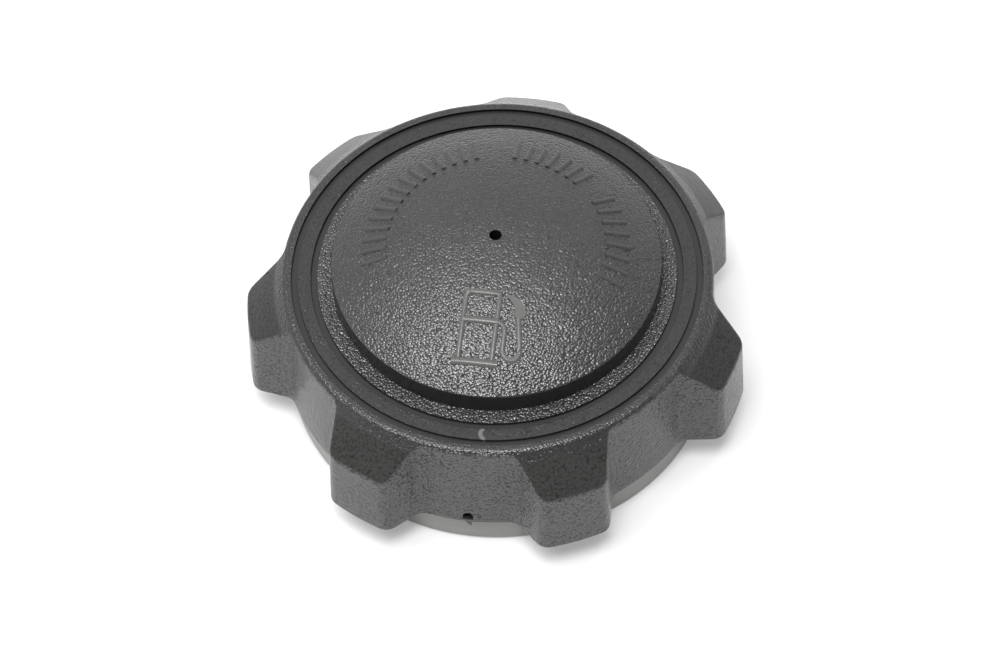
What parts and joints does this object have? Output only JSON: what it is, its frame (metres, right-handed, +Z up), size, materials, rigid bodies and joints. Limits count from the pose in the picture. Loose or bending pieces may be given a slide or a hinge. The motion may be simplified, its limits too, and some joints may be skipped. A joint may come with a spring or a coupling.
{
  "type": "fuel filler cap",
  "caption": "Round black fuel filler cap with a lobed grip, a grooved deck round a textured dome with a vent hole and pump sign, and a threaded mouth below.",
  "frame": {"origin": "centre of the cap's mouth, on its axis, in the plane of the bottom rim", "axes": "+Z up along the cap's axis from the mouth to the dome; -Y towards the side that the picture shows in front"},
  "size_m": [0.0873, 0.0885, 0.0389],
  "materials": {
    "grip_plastic": "moulded leather grain",
    "closure_plastic": "smooth satin",
    "acetal": "smooth natural acetal",
    "seal_rubber": "matt",
    "spring_steel": "bright drawn wire",
    "filter_foam": "open-cell foam"
  },
  "bodies": {
    "closure_body": {"threaded_closure": "closure_plastic", "ratchet_ring": "acetal", "thrust_washer": "acetal", "sealing_gasket": "seal_rubber", "pressure_spring": "spring_steel", "spring_retainer": "acetal", "vent_filter": "filter_foam", "filter_cover": "closure_plastic", "splash_baffle": "closure_plastic"},
    "grip_body": {"grip_shell": "grip_plastic"},
    "poppet_body": {"pressure_poppet": "acetal", "poppet_seal": "seal_rubber", "vacuum_valve": "seal_rubber"}
  },
  "joints": [
    {"name": "grip_turn", "type": "hinge", "parent": "closure_body", "child": "grip_body", "pos_m": [0, 0, 0], "axis": [0, 0, 1], "continuous": true, "deforming": ["ratchet_ring"]},
    {"name": "poppet_lift", "type": "slide", "parent": "closure_body", "child": "poppet_body", "axis": [0, 0, 1], "range_m": [0, 0.002], "stiffness_N_per_m": 780, "springref_m": -0.0015, "deforming": ["pressure_spring"]}
  ]
}
